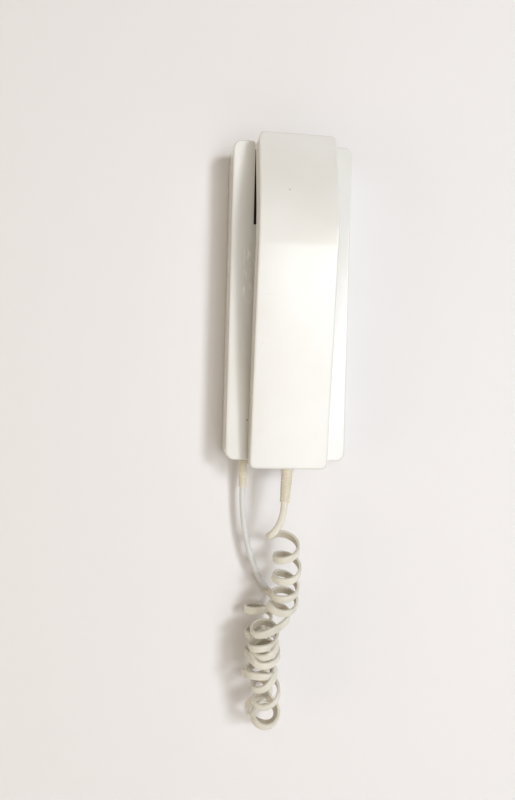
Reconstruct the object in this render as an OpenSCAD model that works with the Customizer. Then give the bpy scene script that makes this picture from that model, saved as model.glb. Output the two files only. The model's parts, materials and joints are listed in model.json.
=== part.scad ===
// A slim wall telephone: a flat base screwed to the wall, an arched handset that hangs over
// the whole of its face, and a curly cord between the two.
// Millimetres. The origin is the centre of the base's back face, on the wall.
// +X is right, +Z is up, and the object stands out from the wall along -Y.
// A "depth" below is a distance from the wall.

/* [Base] */
// Width of the base
base_w = 76; // [72:0.5:92]
// Height of the base
base_h = 200; // [166:1:240]
// Depth of the base, from the wall to its face
base_d = 28.5; // [26:0.5:36]
// Corner radius of the base's outline
base_corner = 5.5; // [4:0.5:10]
// Rounding of the edge round the base's face
base_edge = 1.2; // [0.5:0.1:2.1]
// Wall thickness of the moulded shells
wall = 2.2; // [1.6:0.1:2.6]
// Thickness of the plate that closes the base's back
plate_t = 2; // [1.6:0.1:2.4]
// Gap between the back plate and the casing's skirt
plate_fit = 0.15; // [0.1:0.05:0.4]

/* [Wall fixing] */
// Distance between the two wall screws
wall_screw_pitch = 83.5; // [66:0.5:83.5]
// Diameter of each wall screw's hole
wall_screw_hole = 4.5; // [3.5:0.1:5.5]
// Width of the window where the line comes out of the wall
window_w = 24; // [14:1:30]
// Height of that window
window_h = 13; // [8:1:14]

/* [Ear well] */
// Gap between the earpiece cup and each side of the recess that it hangs in
well_gap = 4.5; // [3:0.5:5]
// Depth of that recess below the base's face
well_deep = 15; // [13:0.5:16]

/* [Handset] */
// Width of the handset
hand_w = 48.2; // [46:0.2:58]
// How far the handset hangs below the base
hand_below = 4.3; // [0:0.1:8]
// How far the handset reaches above the base
hand_above = 0.7; // [0:0.1:3]
// Thickness of the handset, measured square to its face
hand_t = 15.8; // [13.2:0.2:19]
// How far the handset's lower end stands out from the base's face
hand_end = 11.4; // [10.6:0.2:14]
// Lean of the handset's lower, longer stretch
low_tilt = 7; // [5:0.5:8]
// Lean of the handset's upper stretch, the other way
up_tilt = 16.7; // [14:0.1:18]
// Distance below the handset's upper end where the two stretches would meet
bend_drop = 51.7; // [48:0.1:58]
// Radius of the bend between the two stretches
bend_r = 97; // [80:1:110]
// Corner radius of the handset's outline
hand_corner = 4; // [3:0.5:6]
// Rounding of the edge round the handset's face
hand_edge = 1.2; // [0.8:0.1:2.2]
// Gap between the base's face and the handset's back where they are closest
hand_gap = 1.2; // [1:0.1:2]
// Depth of the rear shell, from the handset's back to the seam
seam_depth = 5; // [4:0.2:6]

/* [Earpiece] */
// Diameter of the round earpiece cup
cup_d = 40; // [34:0.5:44]
// Distance of the cup's end below the handset's upper end
cup_drop = 26.7; // [24:0.1:30]
// Gap between the cup and the floor of its recess
cup_gap = 1.8; // [1:0.1:3]
// Depth of the receiver capsule
capsule_t = 9; // [7:0.5:11]

/* [Cradle and hook switch] */
// Lean of the cradle hook above the horizontal
hook_tilt = 35; // [30:1:40]
// Length of the cradle hook from the base's face
hook_l = 22; // [20:0.5:23]
// Width of the cradle hook
hook_w = 12; // [8:0.5:14]
// Thickness of the cradle hook
hook_t = 4.5; // [3.5:0.1:5.4]
// Clearance round the hook in the handset's slot
hook_fit = 0.4; // [0.2:0.05:0.8]
// Clearance round the hook in the casing's face
hook_hole_fit = 0.1; // [0.05:0.05:0.2]
// Diameter of the hook plunger
plunger_d = 7; // [5.8:0.1:8.4]
// Radial clearance of the plunger in its bore
plunger_fit = 0.1; // [0.05:0.01:0.2]
// Travel of the hook plunger
plunger_travel = 3.5; // [2.5:0.1:3.6]
// Length of the switch lever from its pivot to the plunger's flange
lever_arm = 14; // [12:0.5:16]
// Diameter of the switch lever's pivot pin
pivot_d = 1.5; // [1.2:0.1:2]

/* [Cord] */
// Diameter of the straight white lead at the base
base_lead_d = 3.7; // [3:0.1:4.2]
// Diameter of the straight lead at the handset
hand_lead_d = 4.4; // [3.6:0.1:4.8]
// Outside diameter of the curly part
coil_d = 18.5; // [15:0.5:18.5]
// Length of the base's cord boot outside its casing
base_boot_l = 18; // [14:0.5:20]
// Length of the handset's cord boot outside its shells
hand_boot_l = 21; // [17:0.5:24]

/* [Hidden] */
$fn = 48;
eps = 0.01;

// ---- the base, from its back to its face
top_z = base_h / 2;
low_z = -base_h / 2;
face_in = base_d - wall;               // inner side of the casing's face
skirt_d = 0.6;                         // the casing's skirt stops this far off the wall
floor_d = base_d - well_deep;          // floor of the ear well
well_w = cup_d + 2 * well_gap;
post_h = 3;                            // board posts on the back plate
board_t = 1.4;
board_d = plate_t + post_h;            // back of the circuit board
board_front = board_d + board_t;
board_w = base_w - 19;
window_z = 31;                         // middle of the line's window
board_z0 = low_z + 14;
board_z1 = window_z - window_h / 2 - 2.5;
post_inset = 4;                        // from the board's edges to the axes of its posts
post_r = 3;
post_x = board_w / 2 - post_inset;
post_z = [board_z0 + post_inset, board_z1 - post_inset];
access_d = 10;                         // screwdriver hole in the board over the lower wall screw
case_screw_x = 10;
case_screw_d = 8;                      // depth of the casing screws' axes
case_head_t = 0.8;
case_block = [8, 4, 6];                // width, depth past the screw's axis, and height of their blocks
screw_d = 2.9;                         // thread of the small screws
screw_hole_fit = 0.2;                  // radial clearance where a screw only passes through
head_d = 5;
head_t = 1.8;
head_fit = 0.3;                        // radial clearance round a sunk head

// ---- the handset's height, and where its two stretches would meet
hand_z0 = low_z - hand_below;
hand_z1 = top_z + hand_above;
hand_h = hand_z1 - hand_z0;
vertex_z = hand_z1 - bend_drop;

// ---- the cradle hook, on an axis through the base's face
hook_z = vertex_z - 22;
hook_flange = [18, 12];
hook_flange_t = 2;
hook_flange_z0 = hook_z - 8;

// ---- the sounder behind the slots in the casing's face
sounder_d = 38;
sounder_z = hook_flange_z0 - 1 - sounder_d / 2;
sounder_deep = 11;
slot_n = 5;
slot_w = 1.8;
slot_l = 22;
slot_pitch = 4.4;

// ---- the hook plunger, its spring and its switch
plunger_z = low_z + 30;
plunger_out = 0.9;                     // how far the held plunger stands out of the base's face
flange_r = 8;
flange_t = 1.5;
flange_d = face_in - plunger_travel - 0.2;      // front of the flange with the handset down
flange_back = flange_d - flange_t;
stem_r = 2;
stem_fit = 0.15;
stem_end = plate_t + 0.3;
spring_r = 3.4;
wire_r = 0.35;
spring_turns = 5;
lever_gap = 0.3;                       // between the lever and the plunger's flange
lever_t = 0.5;
lever_w = 5;
pivot_fit = 0.05;
pivot_z = plunger_z + 6 + lever_arm;
pivot_depth = flange_back - lever_gap - lever_t - 0.3;

// ---- the handset's side outline: two straight stretches and a bend
vertex = [base_d + hand_end + tan(low_tilt) * (vertex_z - hand_z0), vertex_z];
tangent_l = bend_r * tan((low_tilt + up_tilt) / 2);
bend_c = vertex - tangent_l * [sin(low_tilt), cos(low_tilt)] - bend_r * [cos(low_tilt), -sin(low_tilt)];
back_r = bend_r - hand_t;              // radius of the bend at the handset's back
back_min = base_d + hand_gap;          // the back comes no closer to the wall than this
bend_steps = 10;

// ---- the earpiece cup, square to the handset's upper stretch
cup_r = cup_d / 2;
cup_end = [floor_d + cup_gap + cup_r * sin(up_tilt), hand_z1 - cup_drop];   // depth and height
up_n = [cos(up_tilt), sin(up_tilt)];
cup_l = up_n * bend_c + back_r - up_n * cup_end;
seal_t = 1.5;
well_foot = 7.4;                       // room below the cup, for lifting it out
well_z0 = cup_end[1] - cup_r * cos(up_tilt) - well_foot;
capsule_fit = 0.5;                     // radial clearance of the capsule in the cup
capsule_back = wall + seal_t + capsule_t;                   // along the cup's axis, from its end

// ---- other pieces of the handset
mic_z = hand_z0 + 16.3;
mic_r = 4.9;
holder_t = 1.6;
holder_deep = 6;
pad_size = [8, 10];
pad_sunk = 0.6;                        // depth of the pads' pockets in the base's face
pad_gap = 0.3;                         // between a pad and the handset's back
pad_inset = 9;                         // from the handset's side to a pad's middle
pad_z = mic_z - 2;
ballast = [26, 4, 38];
ballast_z = hand_z0 + 62.3;
hand_board = [28, 1.2, 34];
hand_board_z = ballast_z + 48;
hand_board_off = 5.5;                  // board's back above the rear shell's back
board_post_z = 11;                     // from the board's middle to each of its posts
shell_screw_z = [hand_z0 + 30, vertex_z - 0.5];
shell_boss_r = 3.4;
screw_head_t = 1.2;
wire_d = 1.2;

// ---- the cord's route, chosen by hand
base_cord_x = -25;
base_cord_depth = 12;
hand_cord_depth = base_d + hand_gap + 5.3;
hand_boot_tilt = 3;
base_neck_d = 5.3;                     // a boot's waist, where it goes through a shell's wall
hand_neck_d = 6.2;
boot_collar_t = 1.8;
base_route = [
  [-25, -12, -118], [-25, -12, -124], [-24.6, -12, -132], [-23.8, -12, -140], [-22.6, -12, -148],
  [-21, -12, -155], [-19, -12, -162], [-16.4, -12, -169], [-13, -12, -176], [-9.5, -12, -182],
  [-7, -12, -187.5]];
hand_route = [
  [-1.1, -35, -125.3], [-1.6, -35, -131], [-3, -34.5, -137], [-5.4, -34, -142.5], [-8.5, -33, -148]];
base_coil_route = [
  [-10, -12, -187], [-11, -12, -194], [-11.5, -12, -202], [-10.8, -12, -212], [-11, -12, -222],
  [-11.5, -12, -232], [-10.8, -12, -244]];
hand_coil_route = [
  [1.5, -33, -146.5], [1.5, -33, -156], [1.5, -33, -168], [1, -33, -180], [-0.5, -33, -191],
  [-3.5, -33, -202], [-7, -33, -212], [-9.5, -33, -222], [-10.5, -33, -232], [-10, -33, -242],
  [-10, -33, -251.5]];
loop_c = [-10, -22.5, -255];           // centre of the cord's lowest turn back up
loop_r = 10.5;

// ================= shared shapes

function corners(w, h, r, n = 5) = [for (q = [0:3], i = [0:n])
  let (sx = q == 0 || q == 3 ? 1 : -1, sz = q < 2 ? 1 : -1, a = 90 * (q + i / n))
  [sx * (w / 2 - r) + r * cos(a), sz * (h / 2 - r) + r * sin(a)]];

// children are an outline in X and Z, drawn out between two depths
module between(d0, d1) { translate([0, -d0, 0]) rotate([90, 0, 0]) linear_extrude(d1 - d0) children(); }

module block(x0, x1, d0, d1, z0, z1) { translate([x0, -d1, z0]) cube([x1 - x0, d1 - d0, z1 - z0]); }

// a round bar from depth d0 to d1, at x and z
module round_y(x, z, d0, d1, r) { translate([x, -d0, z]) rotate([90, 0, 0]) cylinder(h = d1 - d0, r = r); }

// children are an outline in depth (as -Y) and Z, drawn out along X
module across(w) { rotate([90, 0, 90]) linear_extrude(w, center = true) children(); }

// a slab with a rounded outline, whose front edge is rounded too
module rounded_slab(w, h, d0, d1, corner, edge) {
  intersection() {
    between(d0, d1) polygon(corners(w, h, corner));
    across(w + 2) polygon(corners(2 * d1, h, edge));
    linear_extrude(h + 2, center = true) polygon(corners(w, 2 * d1, edge));
  }
}

function unit(v) = v / norm(v);
function heading(p, i) = unit(p[min(i + 1, len(p) - 1)] - p[max(i - 1, 0)]);
function ring(p, i, r, n, ref) = let (t = heading(p, i), u = unit(cross(ref, t)), v = cross(t, u))
  [for (k = [0:n - 1]) p[i] + r * (cos(360 * k / n) * u + sin(360 * k / n) * v)];

// a round tube along the points p
module tube(p, r, n = 8, ref = [1, 0, 0]) {
  m = len(p);
  sides = [for (i = [0:m - 2], k = [0:n - 1]) let (a = i * n, b = a + n, j = (k + 1) % n)
    each [[a + k, b + k, b + j], [a + k, b + j, a + j]]];
  ends = [[for (k = [0:n - 1]) k], [for (k = [n - 1:-1:0]) (m - 1) * n + k]];
  polyhedron(points = [for (i = [0:m - 1]) each ring(p, i, r, n, ref)], faces = concat(sides, ends));
}

// a small screw along local +Z: its head below z = 0, its thread above
module screw(l, t = head_t) {
  translate([0, 0, -t]) cylinder(h = t, d = head_d);
  translate([0, 0, -eps]) cylinder(h = l + eps, d = screw_d);
}

// ================= outlines of the handset

function low_line(z, r) =
  (cos(low_tilt) * bend_c[0] - sin(low_tilt) * bend_c[1] + r + sin(low_tilt) * z) / cos(low_tilt);
function up_line(z, r) =
  (cos(up_tilt) * bend_c[0] + sin(up_tilt) * bend_c[1] + r - sin(up_tilt) * z) / cos(up_tilt);
function low_z_at(d, r) =
  (d * cos(low_tilt) - cos(low_tilt) * bend_c[0] + sin(low_tilt) * bend_c[1] - r) / sin(low_tilt);
function up_z_at(d, r) =
  (cos(up_tilt) * bend_c[0] + sin(up_tilt) * bend_c[1] + r - d * cos(up_tilt)) / sin(up_tilt);
function bend(r) = [for (i = [0:bend_steps]) let (a = -low_tilt + (low_tilt + up_tilt) * i / bend_steps)
  bend_c + r * [cos(a), sin(a)]];
function front_curve(off) = concat(
  [[low_line(hand_z0, bend_r - off), hand_z0]], bend(bend_r - off),
  [[up_line(hand_z1, bend_r - off), hand_z1]]);
function back_curve(shift) = [for (p = concat(
  [[back_min, hand_z0], [back_min, low_z_at(back_min, back_r)]], bend(back_r),
  [[back_min, up_z_at(back_min, back_r)], [back_min, hand_z1]])) [p[0] + shift, p[1]]];
// depth at height z of the side curve whose bend has radius r
function curve_at(z, r) = let (s = (z - bend_c[1]) / r)
  s < -sin(low_tilt) ? low_line(z, r) : s > sin(up_tilt) ? up_line(z, r) : bend_c[0] + r * sqrt(1 - s * s);
function back_at(z) = max(back_min, curve_at(z, back_r));
// depth that a shell screw's head rests at, so that it lies flush with the handset's back
function screw_seat(z) = back_at(z) + screw_head_t;
function reversed(v) = [for (i = [len(v) - 1:-1:0]) v[i]];

// everything between two side curves, within the handset's outline drawn in by inset
module hand_between(back, front, inset) {
  middle = (hand_z0 + hand_z1) / 2;
  intersection() {
    across(hand_w + 2) polygon([for (p = concat(back, reversed(front))) [-p[0], p[1]]]);
    translate([0, 0, middle]) between(0, base_d + 60)
      polygon(corners(hand_w - 2 * inset, hand_h - 2 * inset, max(hand_corner - inset, 1)));
  }
}

// children stand on the back of the handset's lower stretch at height z, off above its outside
module on_back(z, off) {
  translate([0, -low_line(z, back_r), z]) rotate([low_tilt, 0, 0]) translate([0, -off, 0]) children();
}

// points given as across, height, and depth in front of the handset's back
function from_back(points) = [for (p = points) [p[0], -back_at(p[1]) - p[2], p[1]]];

// a point at x, at height u above the earpiece cup's axis and l along it from the cup's end
function in_cup(x, u, l) =
  [x, -cup_end[0] - l * cos(up_tilt) + u * sin(up_tilt), cup_end[1] + l * sin(up_tilt) + u * cos(up_tilt)];

// children's +Z runs from the earpiece cup's end into the handset
module on_cup() { translate([0, -cup_end[0], cup_end[1]]) rotate([90 - up_tilt, 0, 0]) children(); }

// children's +Z runs out of the base's face along the cradle hook
module on_hook() { translate([0, -base_d, hook_z]) rotate([90 - hook_tilt, 0, 0]) children(); }

module hook_bar(z0, z1, fit) {
  on_hook() translate([-hook_w / 2 - fit, -hook_t / 2 - fit, z0]) cube([hook_w + 2 * fit, hook_t + 2 * fit, z1 - z0]);
}

// ================= the base

module back_plate() color("#e6e0cf") {
  w = base_w - 2 * (wall + plate_fit);
  h = base_h - 2 * (wall + plate_fit);
  difference() {
    union() {
      between(0, plate_t) polygon(corners(w, h, base_corner - wall));
      for (x = [-post_x, post_x], z = post_z) round_y(x, z, plate_t - eps, board_d, post_r);
      // two blocks that take the casing's screws
      for (x = [-case_screw_x, case_screw_x])
        block(x - case_block[0] / 2, x + case_block[0] / 2, plate_t - eps, case_screw_d + case_block[1],
          -h / 2, -h / 2 + case_block[2]);
    }
    for (s = [-1, 1]) round_y(0, s * wall_screw_pitch / 2, -1, plate_t + 1, wall_screw_hole / 2);
    block(-window_w / 2, window_w / 2, -1, plate_t + 1, window_z - window_h / 2, window_z + window_h / 2);
    for (x = [-post_x, post_x], z = post_z) round_y(x, z, plate_t, board_d + 1, screw_d / 2);
    for (x = [-case_screw_x, case_screw_x])
      translate([x, -case_screw_d, -h / 2 - 1]) cylinder(h = case_block[2] + 2, d = screw_d);
  }
}

module front_casing() color("#f1ecdd") {
  difference() {
    union() {
      difference() {
        rounded_slab(base_w, base_h, skirt_d, base_d, base_corner, base_edge);
        between(-1, face_in) polygon(corners(base_w - 2 * wall, base_h - 2 * wall, base_corner - wall));
      }
      // the ear well's own floor and sides
      block(-well_w / 2 - wall, well_w / 2 + wall, floor_d - wall, face_in + eps, well_z0 - wall, top_z - wall + eps);
    }
    block(-well_w / 2, well_w / 2, floor_d, base_d + 1, well_z0, top_z + 1);
    // slots for the sounder
    for (i = [0:slot_n - 1])
      let (z = sounder_z + (i - (slot_n - 1) / 2) * slot_pitch)
      block(-slot_l / 2, slot_l / 2, face_in - 1, base_d + 1, z - slot_w / 2, z + slot_w / 2);
    round_y(0, plunger_z, face_in - 1, base_d + 1, plunger_d / 2 + plunger_fit);
    hook_bar(-2 * wall - 2 * hook_t, 4, hook_hole_fit);
    for (s = [-1, 1]) rest_pad(s, base_d - pad_sunk, base_d + 1);
    translate([base_cord_x, -base_cord_depth, low_z - 1]) cylinder(h = wall + 2, d = base_neck_d + 0.1);
    for (x = [-case_screw_x, case_screw_x])
      translate([x, -case_screw_d, low_z - 1]) {
        cylinder(h = wall + 2, r = screw_d / 2 + screw_hole_fit);
        cylinder(h = case_head_t + 1.2, r = head_d / 2 + head_fit);
      }
  }
}

// the lip of the handset's slot hangs on this bar, which is held by a flange behind the face
module cradle_hook() color("#efe9d8") {
  difference() {
    union() {
      hook_bar(-wall - hook_flange_t, hook_l, 0);
      block(-hook_flange[0] / 2, hook_flange[0] / 2, face_in - hook_flange_t, face_in,
        hook_flange_z0, hook_flange_z0 + hook_flange[1]);
    }
    block(-20, 20, 0, face_in - hook_flange_t, hook_z - 20, hook_z + 20);
  }
}

module hook_plunger() color("#d9d4c6") {
  round_y(0, plunger_z, flange_d - eps, base_d + plunger_out - 1, plunger_d / 2);
  // a domed tip
  translate([0, -(base_d + plunger_out - 1) + eps, plunger_z]) rotate([90, 0, 0])
    cylinder(h = 1, r1 = plunger_d / 2, r2 = plunger_d / 2 - 1.2);
  round_y(0, plunger_z, flange_back, flange_d, flange_r);
  round_y(0, plunger_z, stem_end, flange_back + eps, stem_r);
}

module plunger_spring() color("#b8bcc0") {
  gap = flange_back - board_front - 2 * wire_r - 0.2;
  steps = 12;
  tube([for (i = [0:spring_turns * steps]) let (a = 360 * i / steps)
    [spring_r * cos(a), -board_front - wire_r - 0.1 - gap * i / (spring_turns * steps), plunger_z + spring_r * sin(a)]],
    wire_r, 6, [0, 1, 0]);
}

// a small switch on the board, with two ears that hold the lever's pin
module hook_switch_body() color("#3a3d42") {
  ear_x = lever_w / 2 + 0.4;
  block(-5, 5, board_front, pivot_depth - 2.2, pivot_z - 5, pivot_z + 3);
  for (s = [-1, 1]) translate([s * (ear_x + 0.8) - 0.8, 0, 0])
    block(0, 1.6, pivot_depth - 2.2 - eps, pivot_depth + 1.4, pivot_z - 2, pivot_z + 2);
  translate([-ear_x - 0.5, -pivot_depth, pivot_z]) rotate([0, 90, 0]) cylinder(h = 2 * ear_x + 1, d = pivot_d);
}

module hook_switch_lever() color("#c9b26a") {
  strip_d = flange_back - lever_gap;
  eye_r = pivot_d / 2 + pivot_fit + 0.6;
  difference() {
    union() {
      block(-lever_w / 2, lever_w / 2, strip_d - lever_t, strip_d, pivot_z - lever_arm, pivot_z);
      translate([-lever_w / 2, -pivot_depth, pivot_z]) rotate([0, 90, 0]) cylinder(h = lever_w, r = eye_r);
    }
    translate([-lever_w / 2 - 1, -pivot_depth, pivot_z]) rotate([0, 90, 0])
      cylinder(h = lever_w + 2, r = pivot_d / 2 + pivot_fit);
  }
}

module circuit_board() color("#7d6a35") difference() {
  block(-board_w / 2, board_w / 2, board_d, board_front, board_z0, board_z1);
  round_y(0, -wall_screw_pitch / 2, board_d - 1, board_front + 1, access_d / 2);
  round_y(0, plunger_z, board_d - 1, board_front + 1, stem_r + stem_fit);
  for (x = [-post_x, post_x], z = post_z) round_y(x, z, board_d - 1, board_front + 1, screw_d / 2 + screw_hole_fit);
}

terminal_x = board_w / 2 - 10;
terminal_z = board_z0 + 14;
terminal_n = 4;

module terminal_block() color("#2f3237") difference() {
  block(terminal_x - 9, terminal_x + 9, board_front, board_front + 9, terminal_z - 5, terminal_z + 5);
  for (i = [0:terminal_n - 1]) round_y(terminal_x + (i - 1.5) * 4.4, terminal_z, board_front + 2, board_front + 10, 1.5);
}

module terminal_screws() color("#c3a552") for (i = [0:terminal_n - 1])
  round_y(terminal_x + (i - 1.5) * 4.4, terminal_z, board_front + 2, board_front + 8.2, 1.5);

trafo_x = -board_w / 2 + 10.5;
trafo_z = board_z0 + 28;

module transformer_core() color("#6f7276") difference() {
  block(trafo_x - 10, trafo_x + 10, board_front, board_front + 12, trafo_z - 8, trafo_z + 8);
  for (s = [-1, 1]) block(trafo_x + s * 5 - 2, trafo_x + s * 5 + 2, board_front - 1, board_front + 13, trafo_z - 5, trafo_z + 5);
}

module transformer_winding() color("#b0653a") for (s = [-1, 1])
  block(trafo_x + s * 5 - 1.8, trafo_x + s * 5 + 1.8, board_front + 0.2, board_front + 13, trafo_z - 4.8, trafo_z + 4.8);

module capacitors() color("#2b3a55") {
  round_y(board_w / 2 - 8, terminal_z + 14, board_front, board_front + 12, 4);
  round_y(board_w / 2 - 8, terminal_z + 25, board_front, board_front + 11, 3.15);
  round_y(-board_w / 2 + 8, trafo_z + 16, board_front, board_front + 7, 2.5);
}

// children's +Z runs back from the inner side of the casing's face, at the sounder
module on_sounder() { translate([0, -face_in, sounder_z]) rotate([-90, 0, 0]) children(); }

module sounder_frame() color("#8a8d90") on_sounder() rotate_extrude() polygon([
  [sounder_d / 2 - 3, 0], [sounder_d / 2, 0], [sounder_d / 2, 1.5], [sounder_d / 2 - 4, 1.5],
  [10, 6], [7, 6], [7, 5.2], [9.6, 5.2], [sounder_d / 2 - 4.6, 0.7], [sounder_d / 2 - 3, 0.7]]);

module sounder_cone() color("#33302c") on_sounder() rotate_extrude() polygon([
  [0, 1.4], [4, 2.2], [sounder_d / 2 - 6.5, 0.5], [sounder_d / 2 - 6.5, 0.9], [4, 2.8], [0, 2.2]]);

module sounder_magnet() color("#55585c") on_sounder() union() {
  translate([0, 0, 6]) cylinder(h = sounder_deep - 6, r = 9);
  translate([0, 0, 3.2]) cylinder(h = 3, r = 4);
}

module sounder_wires() color("#a43a32") for (s = [0, 1])
  tube([[12 - 3 * s, -face_in + 1.9, sounder_z - 10 - 2 * s], [12.5, -face_in + 5, sounder_z - 13 - 3 * s],
    [13, -board_front - 6, sounder_z - 18 - 3 * s], [13, -board_front + 0.1, sounder_z - 20 - 3 * s]], wire_d / 2);

module casing_screws() color("#b9bdc1") for (x = [-case_screw_x, case_screw_x])
  translate([x, -case_screw_d, low_z + case_head_t + 0.2]) screw(6.5, case_head_t);

module board_screws() color("#b9bdc1") for (x = [-post_x, post_x], z = post_z)
  translate([x, -board_front, z]) rotate([-90, 0, 0]) screw(post_h + board_t - 0.5);

// the room between two depths of one of the pads that the handset's lower end rests against
module rest_pad(side, d0, d1) {
  x = side * (hand_w / 2 - pad_inset);
  block(x - pad_size[0] / 2, x + pad_size[0] / 2, d0, d1, pad_z - pad_size[1] / 2, pad_z + pad_size[1] / 2);
}

module rest_pads() color("#9a968c") for (s = [-1, 1]) rest_pad(s, base_d - pad_sunk, back_min - pad_gap);

// a ribbed, tapering sleeve that hangs from z = 0; its neck and collar go up through a wall
module cord_boot(l, d0, d1, neck_d, neck_l, collar_d, ribs) {
  pitch = l / ribs;
  top = neck_l + boot_collar_t;
  rotate_extrude() polygon(concat(
    [[0, top], [collar_d / 2, top], [collar_d / 2, neck_l], [neck_d / 2, neck_l], [neck_d / 2, 0]],
    [for (i = [0:ribs - 1]) let (r = (d0 + (d1 - d0) * i / ribs) / 2, z = -i * pitch)
      each [[r, z], [r, z - 0.6 * pitch], [r - 0.35, z - 0.7 * pitch], [r - 0.35, z - 0.95 * pitch]]],
    [[d1 / 2, -l], [0, -l]]));
}

module base_boot() color("#cfc9b4") translate([base_cord_x, -base_cord_depth, low_z])
  cord_boot(base_boot_l, 6.3, 5.5, base_neck_d, wall, 8.5, 9);

module base_lead() color("#eef0ef") tube(base_route, base_lead_d / 2);

module base_coil() color("#cdc6b0") tube(concat(base_coil_route,
  [for (i = [0:12]) let (a = 180 * i / 12) loop_c + loop_r * [0, cos(a), -sin(a)]],
  [loop_c + [0, -loop_r, 3]]), coil_d / 2, 12);

// ================= the handset

module handset_front_shell() color("#f4f0e2") {
  seam = back_curve(seam_depth);
  difference() {
    intersection() {
      hull() {
        hand_between(back_curve(0), front_curve(0), hand_edge);
        hand_between(back_curve(0), front_curve(0.3 * hand_edge), 0.3 * hand_edge);
        hand_between(back_curve(0), front_curve(hand_edge), 0);
      }
      hand_between(seam, front_curve(-1), 0);
    }
    difference() {
      hand_between(back_curve(seam_depth - 1), front_curve(wall), wall);
      // bosses for the screws from the rear shell
      for (z = shell_screw_z) round_y(0, z, base_d, base_d + 60, shell_boss_r);
    }
    for (z = shell_screw_z) round_y(0, z, base_d, curve_at(z, bend_r) - wall - 1, screw_d / 2);
    handset_boot_hole();
  }
}

module handset_boot_hole() {
  translate([0, -hand_cord_depth, hand_z0 - 1]) cylinder(h = wall + 2, d = hand_neck_d + 0.2);
}

module handset_rear_shell() color("#f0ebdc") difference() {
  union() {
    difference() {
      hand_between(back_curve(0), back_curve(seam_depth), 0);
      hand_between(back_curve(wall), back_curve(seam_depth + 1), wall);
    }
    on_cup() cylinder(h = cup_l + wall, r = cup_r);
    // posts for the handset's board
    for (s = [-1, 1]) on_back(hand_board_z, 1)
      translate([0, 0, s * board_post_z]) rotate([90, 0, 0]) cylinder(h = hand_board_off - 1, r = 2);
  }
  on_cup() translate([0, 0, wall]) cylinder(h = cup_l + wall, r = cup_r - wall);
  // holes that the sound leaves by
  on_cup() for (i = [0:6]) translate(i == 0 ? [0, 0, -1] : [7 * cos(60 * i), 7 * sin(60 * i), -1])
    cylinder(h = wall + 2, d = 2.4, $fn = 24);
  // and the slots that it comes in by
  for (s = [-1, 0, 1]) block(s * 3.2 - 0.7, s * 3.2 + 0.7, base_d, back_min + wall + 1, mic_z - 3.4, mic_z + 3.4);
  for (z = shell_screw_z) round_y(0, z, base_d, base_d + 40, screw_d / 2 + screw_hole_fit);
  for (z = shell_screw_z) round_y(0, z, base_d, screw_seat(z), head_d / 2 + head_fit);
  hook_bar(8, hook_l + 6, hook_fit);
  handset_boot_hole();
}

module receiver_capsule() color("#4a4c50") on_cup() difference() {
  translate([0, 0, wall + seal_t]) cylinder(h = capsule_t, r = cup_r - wall - capsule_fit);
  translate([0, 0, wall + seal_t - 1]) cylinder(h = 1.8, r = 9);
}

module receiver_seal() color("#2e2d2b") on_cup() difference() {
  translate([0, 0, wall]) cylinder(h = seal_t, r = cup_r - wall - capsule_fit);
  translate([0, 0, wall - 1]) cylinder(h = seal_t + 2, r = 11);
}

module microphone_capsule() color("#9a9c9e") round_y(0, mic_z, back_min + wall + 0.8, back_min + wall + holder_deep, mic_r);

module microphone_holder() color("#26272a") difference() {
  round_y(0, mic_z, back_min + wall, back_min + wall + holder_deep, mic_r + holder_t);
  round_y(0, mic_z, back_min + wall - 1, back_min + wall + holder_deep + 1, mic_r);
}

module ballast_weight() color("#74777a") on_back(ballast_z, hand_t - wall - 0.6 - ballast[1])
  translate([-ballast[0] / 2, -ballast[1], -ballast[2] / 2]) cube(ballast);

module handset_board() color("#7d6a35") on_back(hand_board_z, hand_board_off)
  translate([-hand_board[0] / 2, -hand_board[1], -hand_board[2] / 2]) cube(hand_board);

module handset_screws() color("#b9bdc1") for (z = shell_screw_z)
  translate([0, -screw_seat(z), z]) rotate([90, 0, 0]) difference() {
    union() {
      translate([0, 0, -screw_head_t]) cylinder(h = screw_head_t, d = head_d);
      translate([0, 0, -eps]) cylinder(h = 7, d = screw_d);
    }
    translate([0, 0, -2]) cylinder(h = 1.4, d = 1.6);
  }

module receiver_wires() color("#a43a32") {
  lift = hand_board_off + hand_board[1] + wire_d / 2 - 0.1;
  start = hand_board_z + hand_board[2] / 2 - 5;
  for (s = [-1, 1])
    tube(concat(from_back([[10 * s, start, lift], [10 * s, start + 8, 8.5], [10.5 * s, vertex_z - 11, 8.3],
      [11 * s, vertex_z + 1, 7.5], [10 * s, vertex_z + 13, 4.6]]),
      [in_cup(6 * s, -7, capsule_back + 5), in_cup(6 * s, -2, capsule_back + wire_d / 2 - 0.1)]), wire_d / 2);
}

module microphone_wires() color("#3b6aa0") {
  lift = hand_board_off + hand_board[1] + wire_d / 2 - 0.1;
  start = hand_board_z - hand_board[2] / 2 + 2;
  beside = ballast[0] / 2 + 3;
  for (s = [-1, 1])
    tube(from_back([[11.5 * s, start, lift], [14.5 * s, start - 9, 8.4], [beside * s, ballast_z + 6, 8.1],
      [beside * s, ballast_z - 16, 8.1], [12 * s, mic_z + 16, 7.5], [3 * s, mic_z + 8, 9],
      [2 * s, mic_z, wall + holder_deep + 0.5]]), wire_d / 2);
}

module handset_boot() color("#c9c3ac") translate([0, -hand_cord_depth, hand_z0]) union() {
  rotate([0, hand_boot_tilt, 0]) cord_boot(hand_boot_l, 7.8, 6.6, hand_neck_d, wall / 2, hand_neck_d, 10);
  translate([0, 0, wall / 2]) cylinder(h = wall / 2 + boot_collar_t, d = hand_neck_d);
  translate([0, 0, wall]) cylinder(h = boot_collar_t, d = 8.4);
}

module handset_lead() color("#cfc8b0") tube(hand_route, hand_lead_d / 2);

module handset_coil() color("#cdc6b0") tube(hand_coil_route, coil_d / 2, 12);

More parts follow.
